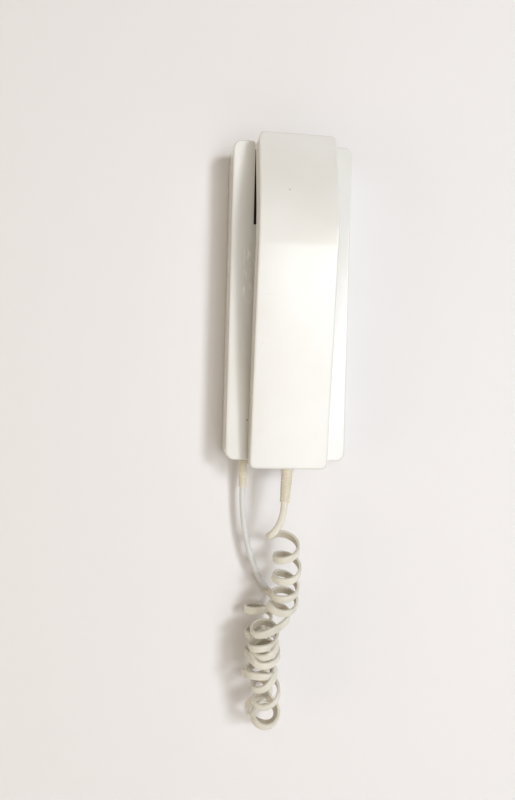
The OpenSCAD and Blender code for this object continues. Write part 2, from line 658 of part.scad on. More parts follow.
back_plate();
front_casing();
cradle_hook();
hook_plunger();
plunger_spring();
hook_switch_body();
hook_switch_lever();
circuit_board();
terminal_block();
terminal_screws();
transformer_core();
transformer_winding();
capacitors();
sounder_frame();
sounder_cone();
sounder_magnet();
sounder_wires();
casing_screws();
board_screws();
rest_pads();
base_boot();
base_lead();
base_coil();
handset_front_shell();
handset_rear_shell();
receiver_capsule();
receiver_seal();
microphone_capsule();
microphone_holder();
ballast_weight();
handset_board();
handset_screws();
receiver_wires();
microphone_wires();
handset_boot();
handset_lead();
handset_coil();
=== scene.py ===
"""The looks of a slim wall telephone: a flat base, an arched handset and a curly cord.

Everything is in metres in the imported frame. The wall is the plane y = 0, +Z is up, and the
telephone stands out from the wall along -Y. A depth is a distance from the wall.
"""

from __future__ import annotations

import json
import logging
import math
from collections.abc import Callable, Iterable, Sequence
from dataclasses import dataclass, field
from enum import Enum

import bmesh
import bpy
from mathutils import Matrix, Vector

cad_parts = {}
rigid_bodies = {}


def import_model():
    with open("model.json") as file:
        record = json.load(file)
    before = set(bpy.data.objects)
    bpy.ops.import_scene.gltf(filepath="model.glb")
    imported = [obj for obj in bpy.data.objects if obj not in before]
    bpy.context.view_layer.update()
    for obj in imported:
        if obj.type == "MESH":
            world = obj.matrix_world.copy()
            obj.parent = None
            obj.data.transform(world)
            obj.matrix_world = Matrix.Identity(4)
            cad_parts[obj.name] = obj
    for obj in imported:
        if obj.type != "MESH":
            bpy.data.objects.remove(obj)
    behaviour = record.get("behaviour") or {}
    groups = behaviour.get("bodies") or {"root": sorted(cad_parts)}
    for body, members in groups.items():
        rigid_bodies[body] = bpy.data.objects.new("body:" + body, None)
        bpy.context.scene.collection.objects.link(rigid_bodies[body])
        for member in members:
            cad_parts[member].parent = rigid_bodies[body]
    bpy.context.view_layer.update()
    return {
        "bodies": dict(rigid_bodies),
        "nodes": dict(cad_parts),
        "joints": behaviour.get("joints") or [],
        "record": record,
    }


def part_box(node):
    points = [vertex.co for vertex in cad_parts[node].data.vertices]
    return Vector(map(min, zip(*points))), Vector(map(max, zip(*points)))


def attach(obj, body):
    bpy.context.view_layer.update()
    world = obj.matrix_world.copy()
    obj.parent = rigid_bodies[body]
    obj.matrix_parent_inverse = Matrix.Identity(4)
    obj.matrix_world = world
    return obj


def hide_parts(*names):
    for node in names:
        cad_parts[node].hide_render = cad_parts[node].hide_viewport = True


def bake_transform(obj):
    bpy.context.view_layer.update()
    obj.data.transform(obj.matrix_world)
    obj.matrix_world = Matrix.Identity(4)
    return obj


LOG = logging.getLogger("wall_telephone")
MM = 0.001
Point = tuple[float, float, float]
Colour = tuple[float, float, float]
Outline = list[tuple[float, float]]
Hole = tuple[float, float, float]
Piece = bpy.types.Object
Solid = bmesh.types.BMesh
Material = bpy.types.Material


class Body(Enum):
    """The bodies that the pieces ride on."""

    BASE = "base"
    HANDSET = "handset"
    PLUNGER = "plunger"


# ---------------------------------------------------------------- node trees


@dataclass(frozen=True)
class Value:
    """A node's socket that Python's operators can be used on."""

    graph: Nodes
    socket: bpy.types.NodeSocket

    def __add__(self, other: Value | float) -> Value:
        """Return self + other."""
        return self.graph.math("ADD", self, other)

    def __sub__(self, other: Value | float) -> Value:
        """Return self - other."""
        return self.graph.math("SUBTRACT", self, other)

    def __mul__(self, other: Value | float) -> Value:
        """Return self * other."""
        return self.graph.math("MULTIPLY", self, other)

    def __truediv__(self, other: Value | float) -> Value:
        """Return self / other."""
        return self.graph.math("DIVIDE", self, other)

    def between(self, low: float, high: float) -> Value:
        """Rise smoothly from 0 at low to 1 at high.

        Args:
            low: The value that gives 0.
            high: The value that gives 1; below low, the result falls instead.

        Returns:
            The remapped value, clamped.
        """
        return self.graph.node("ShaderNodeMapRange", settings={"interpolation_type": "SMOOTHSTEP"},
                               Value=self, From_Min=low, From_Max=high)


class Nodes:
    """A tree of nodes that is wired up by calls."""

    def __init__(self, tree: bpy.types.NodeTree) -> None:
        """Take the tree to add to."""
        self.tree = tree

    def node(self, kind: str, *values: object, settings: dict | None = None, output: str | int = 0,
             **inputs: object) -> Value:
        """Add a node.

        Args:
            kind: The node's type.
            *values: What its first sockets take, in order.
            settings: Its properties, set before its sockets.
            output: The name or number of the output to return.
            **inputs: What its other sockets take, by name, with _ for the spaces in it.

        Returns:
            The wanted output.
        """
        node = self.tree.nodes.new(kind)
        for key, setting in (settings or {}).items():
            setattr(node, key, setting)
        for socket, value in zip(node.inputs, values):
            self.feed(socket, value)
        for key, value in inputs.items():
            name = key.replace("_", " ")
            self.feed(next(s for s in node.inputs if s.name == name and s.enabled), value)
        return Value(self, node.outputs[output])

    def feed(self, socket: bpy.types.NodeSocket, value: object) -> None:
        """Link one value or a list of them into a socket, or set a plain value there."""
        if isinstance(value, list):
            for each in value:
                self.feed(socket, each)
        elif isinstance(value, Value):
            self.tree.links.new(value.socket, socket)
        else:
            socket.default_value = (*value, 1.0) if socket.type == "RGBA" else value

    def math(self, operation: str, *values: Value | float) -> Value:
        """Add a Math node."""
        return self.node("ShaderNodeMath", *values, settings={"operation": operation})

    def blend(self, mask: Value, low: Value | Colour, high: Value | Colour) -> Value:
        """Mix two colours by a mask."""
        mixed = self.node("ShaderNodeMix", mask, settings={"data_type": "RGBA"}, output=2)
        sockets = [s for s in mixed.socket.node.inputs if s.type == "RGBA"]
        for socket, colour in zip(sockets, (low, high)):
            self.feed(socket, colour)
        return mixed


class Graph(Nodes):
    """The node tree of one material, with a Principled surface."""

    def __init__(self, name: str) -> None:
        """Start a material of that name."""
        self.material = bpy.data.materials.new(name)
        self.material.use_nodes = True
        super().__init__(self.material.node_tree)
        self.surface = next(n for n in self.tree.nodes if n.type == "BSDF_PRINCIPLED")

    def place(self, scale: Point = (1.0, 1.0, 1.0), at: Point = (0.0, 0.0, 0.0)) -> Value:
        """Return the object's own coordinates, measured from a point and then stretched by scale."""
        where = self.node("ShaderNodeTexCoord", output="Object")
        moved = self.node("ShaderNodeVectorMath", where, at, settings={"operation": "SUBTRACT"})
        return self.node("ShaderNodeVectorMath", moved, scale, settings={"operation": "MULTIPLY"})

    def noise(self, where: Value, scale: float, detail: float = 2.0, rough: float = 0.5) -> Value:
        """Return a noise value from 0 to 1."""
        return self.node("ShaderNodeTexNoise", Vector=where, Scale=scale, Detail=detail, Roughness=rough)

    def bump(self, height: Value, distance: float) -> None:
        """Feed the surface's normal from a height, of that distance in metres."""
        self.set(Normal=self.node("ShaderNodeBump", Height=height, Distance=distance))

    def set(self, **inputs: object) -> None:
        """Set or link the surface's sockets, with _ for the spaces in their names."""
        for key, value in inputs.items():
            self.feed(self.surface.inputs[key.replace("_", " ")], value)


# ---------------------------------------------------------------- finishes


@dataclass(frozen=True)
class Finish:
    """A named finish that is built as a material."""

    name: str

    def build(self) -> Material:
        """Return the material."""
        g = Graph(self.name)
        self.wire(g)
        return g.material

    def wire(self, g: Graph) -> None:
        """Add the finish's nodes to a graph."""
        raise NotImplementedError


@dataclass(frozen=True)
class GlossyShell(Finish):
    """A moulded, glossy shell that has yellowed a little and picked up specks and rubs."""

    fresh: Colour
    yellowed: Colour
    rub_centre: Point
    rub_size: Point
    rub_colour: Colour
    rub_stretch: Point = (1.7, 1.7, 0.2)
    rub_scale: float = 900.0
    cloud_scale: float = 26.0
    speck_scale: float = 95.0
    speck_colour: Colour = (0.26, 0.23, 0.17)
    peel_scale: float = 420.0
    grain_scale: float = 1900.0
    roughness: float = 0.13
    depth: float = 0.000025

    def wire(self, g: Graph) -> None:
        """Add the finish's nodes to a graph."""
        where = g.place()
        cloudy = g.noise(where, self.cloud_scale, 3.0).between(0.35, 0.7)
        colour = g.blend(cloudy, self.fresh, self.yellowed)
        cells = g.node("ShaderNodeTexVoronoi", Vector=where, Scale=self.speck_scale)
        rare = g.noise(where, 60.0, 1.0).between(0.55, 0.6)
        speck = cells.between(0.075, 0.04) * rare
        colour = g.blend(speck * 0.7, colour, self.speck_colour)
        rubbed = self._rubs(g)
        colour = g.blend(rubbed * 0.75, colour, self.rub_colour)
        smear = g.noise(g.place((1.0, 1.0, 0.25)), 70.0, 4.0, 0.6)
        g.set(Base_Color=colour, Roughness=smear * 0.08 + self.roughness + rubbed * 0.25, IOR=1.5)
        orange_peel = g.noise(where, self.peel_scale) * 0.6 + g.noise(where, self.grain_scale, 1.0) * 0.25
        g.bump(orange_peel - speck * 1.5 - rubbed * 0.8, self.depth)

    def _rubs(self, g: Graph) -> Value:
        """Return a mask of fine scratches round the rub's centre."""
        scale = tuple(1.0 / s for s in self.rub_size)
        inside = g.node("ShaderNodeTexGradient", settings={"gradient_type": "SPHERICAL"},
                        Vector=g.place(scale, self.rub_centre)).between(0.0, 0.5)
        return inside * g.noise(g.place(self.rub_stretch), self.rub_scale, 3.0, 0.6).between(0.55, 0.62)


@dataclass(frozen=True)
class Moulding(Finish):
    """A plain moulded plastic or rubber with a fine grain."""

    colour: Colour
    darker: Colour
    roughness: float = 0.5
    grain: float = 900.0
    depth: float = 0.00003

    def wire(self, g: Graph) -> None:
        """Add the finish's nodes to a graph."""
        where = g.place()
        patchy = g.noise(where, 90.0, 4.0).between(0.3, 0.75)
        g.set(Base_Color=g.blend(patchy, self.colour, self.darker),
              Roughness=g.noise(where, 240.0) * 0.16 + (self.roughness - 0.08))
        g.bump(g.noise(where, self.grain, 3.0), self.depth)


@dataclass(frozen=True)
class CordSkin(Finish):
    """The cord's smooth skin: greyer where it is handled, with lengthwise drawing marks.

    The insides of the coil's turns are painted darker as shade, past the first centimetres of the cord.
    """

    colour: Colour
    grimy: Colour
    dusty: Colour | None = None
    roughness: float = 0.2
    grime_scale: float = 55.0
    grain: float = 700.0
    depth: float = 0.00003

    def wire(self, g: Graph) -> None:
        """Add the finish's nodes to a graph."""
        along = g.node("ShaderNodeUVMap", settings={"uv_map": "along"})
        where = g.place()
        grime = g.noise(where, self.grime_scale, 4.0, 0.6).between(0.35, 0.75)
        lines = g.noise(g.node("ShaderNodeMapping", Vector=along, Scale=(30.0, 1.2, 1.0)), 3.0)
        colour = g.blend(grime * 0.7, self.colour, self.grimy)
        # painted shade: the side of each turn that faces the coil's axis is darkened
        if self.dusty:
            colour = g.blend(self._inside(g, along), colour, self.dusty)
        g.set(Base_Color=colour, Roughness=grime * 0.15 + self.roughness)
        g.bump(lines * 0.7 + g.noise(where, self.grain) * 0.4, self.depth)

    def _inside(self, g: Graph, along: Value) -> Value:
        """Return a mask of the side that faces the coil's axis, where shade is painted."""
        round_it, run = (g.node("ShaderNodeSeparateXYZ", along, output=axis) for axis in "XY")
        return g.math("ABSOLUTE", round_it - 0.5).between(0.22, 0.1) * run.between(2.4, 4.0)


@dataclass(frozen=True)
class Metal(Finish):
    """A drawn or turned metal."""

    colour: Colour
    roughness: float
    metallic: float = 1.0
    depth: float = 0.000012

    def wire(self, g: Graph) -> None:
        """Add the finish's nodes to a graph."""
        dull = g.noise(g.place(), 320.0, 4.0)
        g.set(Base_Color=g.blend(dull, self.colour, tuple(0.72 * c for c in self.colour)),
              Roughness=dull * 0.2 + self.roughness, Metallic=self.metallic)
        g.bump(g.noise(g.place((1.0, 0.1, 1.0)), 1500.0), self.depth)


@dataclass(frozen=True)
class Laminate(Finish):
    """A brown circuit board with faint tracks under its lacquer."""

    colour: Colour
    track: Colour
    track_scale: float = 130.0
    depth: float = 0.00003

    def wire(self, g: Graph) -> None:
        """Add the finish's nodes to a graph."""
        turned = g.node("ShaderNodeVectorRotate", settings={"rotation_type": "X_AXIS"}, Vector=g.place(),
                        Angle=math.pi / 2)
        tracks = g.node("ShaderNodeTexBrick", settings={"offset": 0.37}, output="Fac", Vector=turned,
                        Scale=self.track_scale, Mortar_Size=0.08, Brick_Width=1.3, Row_Height=0.6)
        fibres = g.noise(g.place((1.0, 1.0, 6.0)), 400.0, 3.0)
        ground = g.blend(fibres, self.colour, self.track)
        g.set(Base_Color=g.blend(tracks, ground, self.track), Roughness=0.38)
        g.bump(tracks, self.depth)


@dataclass(frozen=True)
class Fibrous(Finish):
    """Felt, foam or pressed paper."""

    colour: Colour
    pale: Colour
    scale: float
    depth: float

    def wire(self, g: Graph) -> None:
        """Add the finish's nodes to a graph."""
        fuzz = g.noise(g.place(), self.scale, 5.0, 0.7)
        g.set(Base_Color=g.blend(fuzz.between(0.3, 0.7), self.colour, self.pale), Roughness=0.92)
        g.bump(fuzz, self.depth)


CREAM = (0.765, 0.77, 0.76)
CREAM_OLD = (0.745, 0.743, 0.715)
FINISHES = {finish.name: finish for finish in (
    GlossyShell("casing_cream", CREAM, CREAM_OLD, (-0.0272, -0.0285, 0.016), (0.0042, 0.03, 0.03),
                (0.97, 0.97, 0.96)),
    GlossyShell("handset_cream", CREAM, CREAM_OLD, (-0.014, -0.056, 0.0), (0.012, 0.03, 0.0009),
                (0.47, 0.44, 0.37), (0.1, 1.0, 1.0)),
    Moulding("inner_plastic", (0.74, 0.70, 0.60), (0.66, 0.62, 0.51)),
    Moulding("boot_beige", (0.75, 0.71, 0.60), (0.67, 0.63, 0.52), 0.33),
    # coil_beige's third colour is painted shade for the insides of the coil's turns
    CordSkin("coil_beige", (0.76, 0.742, 0.67), (0.56, 0.54, 0.465), (0.5, 0.455, 0.37)),
    CordSkin("lead_white", (0.655, 0.67, 0.675), (0.57, 0.58, 0.575)),
    Metal("steel", (0.62, 0.63, 0.65), 0.3),
    Metal("brass", (0.74, 0.58, 0.28), 0.28),
    Metal("copper", (0.66, 0.30, 0.15), 0.35),
    Laminate("board", (0.40, 0.29, 0.12), (0.30, 0.25, 0.10)),
    Moulding("black_plastic", (0.035, 0.035, 0.04), (0.02, 0.02, 0.022), 0.45),
    Fibrous("black_foam", (0.02, 0.02, 0.02), (0.06, 0.06, 0.06), 1600.0, 0.0002),
    Fibrous("paper_cone", (0.07, 0.06, 0.05), (0.14, 0.13, 0.11), 700.0, 0.0001),
    Metal("magnet", (0.16, 0.16, 0.17), 0.55, 0.3),
    Fibrous("felt_grey", (0.34, 0.33, 0.30), (0.52, 0.51, 0.47), 2200.0, 0.0002),
    Moulding("sleeve_blue", (0.05, 0.10, 0.24), (0.03, 0.07, 0.18), 0.3, 400.0),
    Moulding("wire_red", (0.48, 0.06, 0.05), (0.36, 0.04, 0.03), 0.4),
    Moulding("wire_blue", (0.06, 0.18, 0.42), (0.04, 0.12, 0.30), 0.4),
    # well_dark is painted shade: a near-black lining that stands for the shade inside the ear well
    Moulding("well_dark", (0.035, 0.028, 0.02), (0.022, 0.018, 0.014), 0.6),
)}


@dataclass
class Paintbox:
    """Builds each finish once, when it is first asked for."""

    made: dict[str, Material] = field(default_factory=dict)

    def get(self, slot: str) -> Material:
        """Return the material of a slot."""
        if slot not in self.made:
            self.made[slot] = FINISHES[slot].build()
        return self.made[slot]

    def dress_nodes(self, frame: dict) -> None:
        """Give every CAD node its slot's material.
        """
        slots = {p["node"]: p["material_slot"] for p in frame["record"]["subparts"]}
        for name, node in frame["nodes"].items():
            node.data.materials.clear()
            node.data.materials.append(self.get(slots[name]))


# ---------------------------------------------------------------- mesh helpers


def new_object(name: str, bm: Solid, materials: Iterable[Material]) -> Piece:
    """Turn a bmesh into an object in the scene.

    Args:
        name: The object's name.
        bm: The mesh, which is freed.
        materials: Its materials in slot order.

    Returns:
        The object, with its place in its mesh.
    """
    mesh = bpy.data.meshes.new(name)
    bm.to_mesh(mesh)
    bm.free()
    for material in materials:
        mesh.materials.append(material)
    piece = bpy.data.objects.new(name, mesh)
    bpy.context.scene.collection.objects.link(piece)
    return piece


def prism(outline: Outline, place: Callable[[float, float, float], Point], start: float,
          end: float) -> Solid:
    """Draw an outline out between two distances.

    Args:
        outline: Its points.
        place: Turns a point's two numbers and a distance into a place.
        start: The first distance.
        end: The last distance.

    Returns:
        A closed solid, its faces pointing outwards.
    """
    bm = bmesh.new()
    rings = [[bm.verts.new(place(a, b, t)) for a, b in outline] for t in (start, end)]
    count = len(outline)
    for i in range(count):
        j = (i + 1) % count
        bm.faces.new((rings[0][i], rings[0][j], rings[1][j], rings[1][i]))
    bm.faces.new(list(reversed(rings[0])))
    bm.faces.new(rings[1])
    bmesh.ops.recalc_face_normals(bm, faces=bm.faces)
    return bm


def facing_wall(x: float, z: float, depth: float) -> Point:
    """Place an outline in X and Z, drawn out by depth."""
    return (x, -depth, z)


def seen_from_side(depth: float, z: float, x: float) -> Point:
    """Place an outline in depth and Z, drawn out along X."""
    return (x, -depth, z)


def seen_from_below(x: float, depth: float, z: float) -> Point:
    """Place an outline in X and depth, drawn out along Z."""
    return (x, -depth, z)


def rectangle(x0: float, x1: float, z0: float, z1: float, radius: float = 0.0, steps: int = 6) -> Outline:
    """Return a rectangle's outline, with its corners rounded."""
    if not radius:
        return [(x1, z0), (x1, z1), (x0, z1), (x0, z0)]
    left, right, low, high = x0 + radius, x1 - radius, z0 + radius, z1 - radius
    centres = [(right, high), (left, high), (left, low), (right, low)]
    return [(x + radius * math.cos(a), z + radius * math.sin(a))
            for quarter, (x, z) in enumerate(centres)
            for a in (math.pi / 2 * (quarter + i / steps) for i in range(steps + 1))]


def circle(x: float, z: float, radius: float, steps: int = 32) -> Outline:
    """Return a circle's outline."""
    turns = [2 * math.pi * i / steps for i in range(steps)]
    return [(x + radius * math.cos(a), z + radius * math.sin(a)) for a in turns]


def bevel(bm: Solid, edges: Sequence[bmesh.types.BMEdge], radius: float, steps: int) -> None:
    """Round some edges of a mesh.

    Args:
        bm: The mesh.
        edges: The edges.
        radius: The rounding's radius.
        steps: The number of its facets.
    """
    bmesh.ops.bevel(bm, geom=edges, offset=radius, offset_type="OFFSET", segments=steps, profile=0.5,
                    affect="EDGES", clamp_overlap=False)


def round_edges(bm: Solid, wanted: Callable[[Vector, Vector], bool], radius: float, steps: int) -> None:
    """Round the edges whose two ends satisfy a test."""
    bevel(bm, [e for e in bm.edges if wanted(e.verts[0].co, e.verts[1].co)], radius, steps)


def carve(piece: Piece, cutters: Iterable[tuple[Solid, int]]) -> None:
    """Cut solids out of a piece.

    Args:
        piece: The piece.
        cutters: Each solid, which is freed, and the material slot that its cut faces take.
    """
    for bm, slot in cutters:
        for face in bm.faces:
            face.material_index = slot
        tool = new_object("cutter", bm, piece.data.materials)
        cut = piece.modifiers.new("cut", "BOOLEAN")
        cut.operation, cut.solver, cut.object = "DIFFERENCE", "EXACT", tool
        bake_modifiers(piece)
        bpy.data.objects.remove(tool)


def bake_modifiers(piece: Piece) -> None:
    """Replace a piece's mesh by what its modifiers make of it."""
    graph = bpy.context.evaluated_depsgraph_get()
    graph.update()
    mesh = bpy.data.meshes.new_from_object(piece.evaluated_get(graph))
    piece.modifiers.clear()
    piece.data = mesh


def soften(piece: Piece, width: float, from_angle: float = 35.0) -> None:
    """Break a piece's sharp edges with a small bevel and shade the rest smooth."""
    breaking = piece.modifiers.new("soft_edges", "BEVEL")
    breaking.width, breaking.segments = width, 2
    breaking.limit_method, breaking.angle_limit = "ANGLE", math.radians(from_angle)
    breaking.use_clamp_overlap = True
    bake_modifiers(piece)
    shade(piece)


def shade(piece: Piece, angle: float = 32.0) -> None:
    """Shade a piece smooth, except across edges sharper than an angle in degrees."""
    piece.data.shade_smooth()
    piece.data.set_sharp_from_angle(angle=math.radians(angle))
    weigh = piece.modifiers.new("even_normals", "WEIGHTED_NORMAL")
    weigh.keep_sharp, weigh.weight = True, 80


def finish_piece(piece: Piece, body: Body, slot: str, *nodes: str) -> Piece:
    """Put a piece on its body, in place of CAD nodes.

    Args:
        piece: The piece.
        body: What it rides on.
        slot: The record's slot; not used.
        *nodes: The CAD nodes that it stands for.

    Returns:
        The piece.
    """
    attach(piece, body.value)
    if nodes:
        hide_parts(*nodes)
    LOG.info("%s: %d faces on %s", piece.name, len(piece.data.polygons), body.value)
    return piece


@dataclass
class Assembly:
    """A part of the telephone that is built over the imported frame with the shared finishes."""

    frame: dict
    paint: Paintbox

    def polished(self, node: str, name: str, width: float, slot: str) -> Piece:
        """Copy a CAD node with its sharp edges broken.

        Args:
            node: The node.
            name: The copy's name.
            width: The width of the bevel, or 0 for none.
            slot: The record's slot.

        Returns:
            The copy.
        """
        bm = bmesh.new()
        bm.from_mesh(self.frame["nodes"][node].data)
        bmesh.ops.remove_doubles(bm, verts=bm.verts, dist=0.01 * MM)
        bmesh.ops.dissolve_limit(bm, angle_limit=math.radians(1.0), verts=bm.verts, edges=bm.edges)
        piece = new_object(name, bm, [self.paint.get(slot)])
        if width:
            soften(piece, width)
        else:
            shade(piece, 60.0)
        return piece

    def add_copies(self, rows: Iterable[tuple[Body, str, str, float, str]]) -> None:
        """Put polished copies of CAD nodes on their bodies.

        Args:
            rows: The body, the node, the copy's name, its bevel in millimetres and its slot.
        """
        for body, node, name, width, slot in rows:
            finish_piece(self.polished(node, name, width * MM, slot), body, slot, node)


# ---------------------------------------------------------------- the base


@dataclass
class Casing:
    """The base's front casing, with the ear well, the sounder's slots and the button's hole.

    A hole is its two coordinates and its radius.
    """

    paint: Paintbox
    corner: float = 5.5 * MM
    edge: float = 1.2 * MM
    wall: float = 2.2 * MM
    well_deep: float = 15 * MM
    well_half: float = 24.3 * MM
    well_foot: float = 47.45 * MM
    well_mouth: float = 3 * MM
    slot_z: float = -1 * MM
    slot_size: tuple[float, float] = (22 * MM, 1.8 * MM)
    slot_end: float = 0.8 * MM
    slot_pitch: float = 4.4 * MM
    slots: int = 5
    button: Hole = (0.0, -70 * MM, 3.6 * MM)
    front_inside: float = 20 * MM
    pad_x: float = 15.1 * MM
    pad_z: float = -90 * MM
    pad_size: tuple[float, float] = (8 * MM, 10 * MM)
    pad_deep: float = 0.6 * MM
    boot_hole: Hole = (-25 * MM, 12 * MM, 2.7 * MM)
    boot_deep: float = 4 * MM
    screw_hole: Hole = (10 * MM, 8 * MM, 2.8 * MM)
    beyond: float = 1 * MM

    def build(self) -> Piece:
        """Return the casing's piece."""
        low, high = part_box("front_casing")
        bm = prism(rectangle(low[0], high[0], low[2], high[2]), facing_wall, -high[1], -low[1])
        round_edges(bm, lambda a, b: abs(a.y - b.y) > 1 * MM, self.corner, 10)
        front = low[1] + 0.01 * MM
        round_edges(bm, lambda a, b: a.y < front and b.y < front, self.edge, 6)
        piece = new_object("casing", bm, [self.paint.get("casing_cream"), self.paint.get("well_dark")])
        carve(piece, self._cutters(Vector(low), Vector(high)))
        soften(piece, 0.25 * MM, from_angle=50.0)
        return finish_piece(piece, Body.BASE, "casing_cream", "front_casing")

    def _cutters(self, low: Vector, high: Vector) -> list[tuple[Solid, int]]:
        """Return the solids that are cut out of the slab between two corners."""
        face, floor, past = -low.y, -low.y - self.well_deep, -low.y + self.beyond
        left, right, bottom = low.x + self.wall, high.x - self.wall, low.z + self.wall
        hollow = rectangle(left, right, bottom, high.z - self.wall, self.corner - self.wall)
        lower = rectangle(left, right, bottom, self.well_foot - self.wall)
        cuts = [
            (prism(hollow, facing_wall, -self.beyond, floor - self.wall), 0),
            (prism(lower, facing_wall, -self.beyond, face - self.wall), 0),
            # the ear well's cut faces take well_dark, a near-black painted shade
            (prism(self._well_outline(high.z), facing_wall, floor, past), 1),
        ]
        for outline in (circle(*self.button), *self._slot_outlines()):
            cuts.append((prism(outline, facing_wall, self.front_inside, past), 0))
        half_w, half_h = (size / 2 for size in self.pad_size)
        for x in (-self.pad_x, self.pad_x):
            outline = rectangle(x - half_w, x + half_w, self.pad_z - half_h, self.pad_z + half_h)
            cuts.append((prism(outline, facing_wall, face - self.pad_deep, past), 0))
        screw_x, *screw = self.screw_hole
        holes = [(self.boot_hole, self.boot_deep)]
        holes += [((x, *screw), self.beyond) for x in (-screw_x, screw_x)]
        for hole, deep in holes:
            cuts.append((prism(circle(*hole), seen_from_below, low.z - self.beyond, low.z + deep), 0))
        return cuts

    def _slot_outlines(self) -> list[Outline]:
        """Return the outlines of the sounder's slots, from the lowest up."""
        half_w, half_h = (size / 2 for size in self.slot_size)
        heights = [self.slot_z + (i - (self.slots - 1) / 2) * self.slot_pitch for i in range(self.slots)]
        return [rectangle(-half_w, half_w, z - half_h, z + half_h, self.slot_end) for z in heights]

    def _well_outline(self, top: float) -> Outline:
        """Return the ear well's outline, whose mouth at the top edge flares in two round corners."""
        half, mouth = self.well_half, self.well_mouth
        flare = [(half + mouth - mouth * math.cos(a), top - mouth + mouth * math.sin(a))
                 for a in (math.pi / 2 * i / 8 for i in range(9))]
        right = [(half, self.well_foot), *flare, (half + mouth, top + self.beyond)]
        return right + [(-x, z) for x, z in reversed(right)]


@dataclass
class Boot:
    """A ribbed sleeve round a cord where it leaves a shell, made by Geometry Nodes."""

    name: str
    paint: Paintbox
    top: Point
    length: float
    tilt: float
    radii: tuple[float, float]
    ribs: int
    rib_thick: float = 0.55 * MM
    sides: int = 40

    def build(self, body: Body, *nodes: str) -> Piece:
        """Return the boot's piece, in place of its CAD node."""
        piece = new_object(self.name, bmesh.new(), [self.paint.get("boot_beige")])
        modifier = piece.modifiers.new("ribs", "NODES")
        modifier.node_group, sockets = self._tree()
        values = {"Length": self.length, "Top radius": self.radii[0], "End radius": self.radii[1],
                  "Ribs": self.ribs, "Rib": self.rib_thick}
        for key, value in values.items():
            modifier[sockets[key]] = value
        bake_modifiers(piece)
        turn = Matrix.Translation(self.top) @ Matrix.Rotation(math.radians(self.tilt), 4, "Y")
        piece.data.transform(turn)
        shade(piece, 60.0)
        return finish_piece(piece, body, "boot_beige", *nodes)

    def _tree(self) -> tuple[bpy.types.NodeTree, dict[str, str]]:
        """Return the tree of a tapered core with ribs, hanging from the origin, and its sockets."""
        tree = bpy.data.node_groups.new(f"{self.name}_ribs", "GeometryNodeTree")
        face = tree.interface
        face.new_socket("Geometry", in_out="OUTPUT", socket_type="NodeSocketGeometry")
        kinds = {"Length": "Float", "Top radius": "Float", "End radius": "Float", "Ribs": "Int",
                 "Rib": "Float"}
        sockets = {key: face.new_socket(key, in_out="INPUT", socket_type=f"NodeSocket{kind}").identifier
                   for key, kind in kinds.items()}
        g = Nodes(tree)
        given, out = tree.nodes.new("NodeGroupInput"), tree.nodes.new("NodeGroupOutput")
        length, top, end, ribs, rib = (Value(g, given.outputs[key]) for key in kinds)

        core = g.node("GeometryNodeMeshCone", Vertices=self.sides, Side_Segments=4, Radius_Top=end - rib,
                      Radius_Bottom=top - rib, Depth=length)
        hung = g.node("GeometryNodeTransform", Geometry=core, Rotation=(math.pi, 0.0, 0.0))

        pitch = length / ribs
        start, offset = (g.node("ShaderNodeCombineXYZ", Z=pitch * -share) for share in (0.5, 1.0))
        row = g.node("GeometryNodeMeshLine", Count=ribs, Start_Location=start, Offset=offset)
        rim = g.node("GeometryNodeCurvePrimitiveCircle", Resolution=self.sides, Radius=1.0)
        profile = g.node("GeometryNodeCurvePrimitiveCircle", Resolution=8, Radius=rib / top)
        ring = g.node("GeometryNodeCurveToMesh", Curve=rim, Profile_Curve=profile)
        share = g.node("GeometryNodeInputIndex") / ribs
        inner = top + share * (end - top) - rib
        size = g.node("ShaderNodeCombineXYZ", inner, inner, inner)
        rings = g.node("GeometryNodeInstanceOnPoints", Points=row, Instance=ring, Scale=size)

        both = g.node("GeometryNodeJoinGeometry", Geometry=[hung, rings])
        real = g.node("GeometryNodeRealizeInstances", Geometry=both)
        painted = g.node("GeometryNodeSetMaterial", Geometry=real, Material=self.paint.get("boot_beige"))
        g.feed(out.inputs["Geometry"], painted)
        return tree, sockets


@dataclass
class Base(Assembly):
    """What is screwed to the wall."""

    def build(self) -> None:
        """Build the base's visible pieces."""
        Casing(self.paint).build()
        self.add_copies([(Body.BASE, "back_plate", "wall_plate", 0.25, "inner_plastic"),
                         (Body.BASE, "cradle_hook", "hanging_hook", 0.4, "inner_plastic"),
                         (Body.PLUNGER, "hook_plunger", "sprung_button", 0.25, "inner_plastic"),
                         (Body.BASE, "rest_pads", "felt_pads", 0.2, "felt_grey")])
        self._spring()

    def _spring(self) -> None:
        """Build a copy of the spring that sits between the board and the plunger, in place of its CAD node.
        """
        spring = self.polished("plunger_spring", "return_spring", 0.0, "steel")
        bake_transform(spring)
        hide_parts("plunger_spring")


# ---------------------------------------------------------------- the handset


